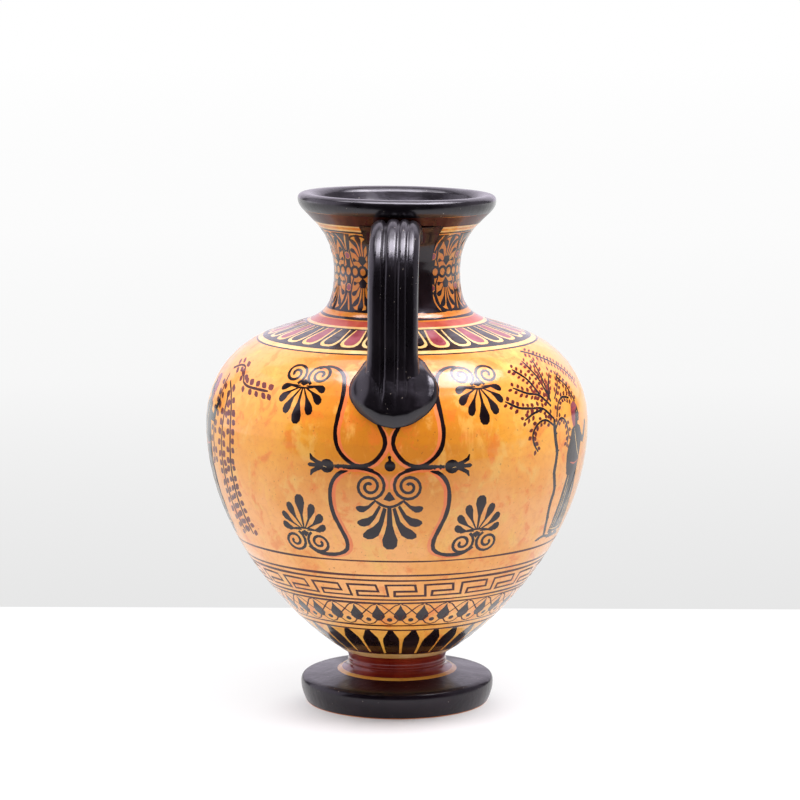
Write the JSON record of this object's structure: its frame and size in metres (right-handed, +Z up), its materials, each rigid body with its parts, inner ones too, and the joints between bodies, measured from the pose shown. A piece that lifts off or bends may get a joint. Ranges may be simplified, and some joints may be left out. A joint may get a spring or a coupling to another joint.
{
  "type": "painted neck amphora",
  "caption": "Hollow painted ceramic neck amphora with a disc foot, full ovoid body, narrow neck, flaring lip and two reeded strap handles; a black-figure style souvenir copy.",
  "frame": {"origin": "on the vessel's axis, in the plane of the foot's resting ring", "axes": "+Z up along the vessel's axis; the two handles stand over the -Y and +Y sides"},
  "size_m": [0.1784, 0.1784, 0.24],
  "materials": {
    "painted_clay": "varnished orange clay with black, maroon and cream painting"
  },
  "bodies": {
    "root": {"amphora": "painted_clay"}
  },
  "joints": []
}
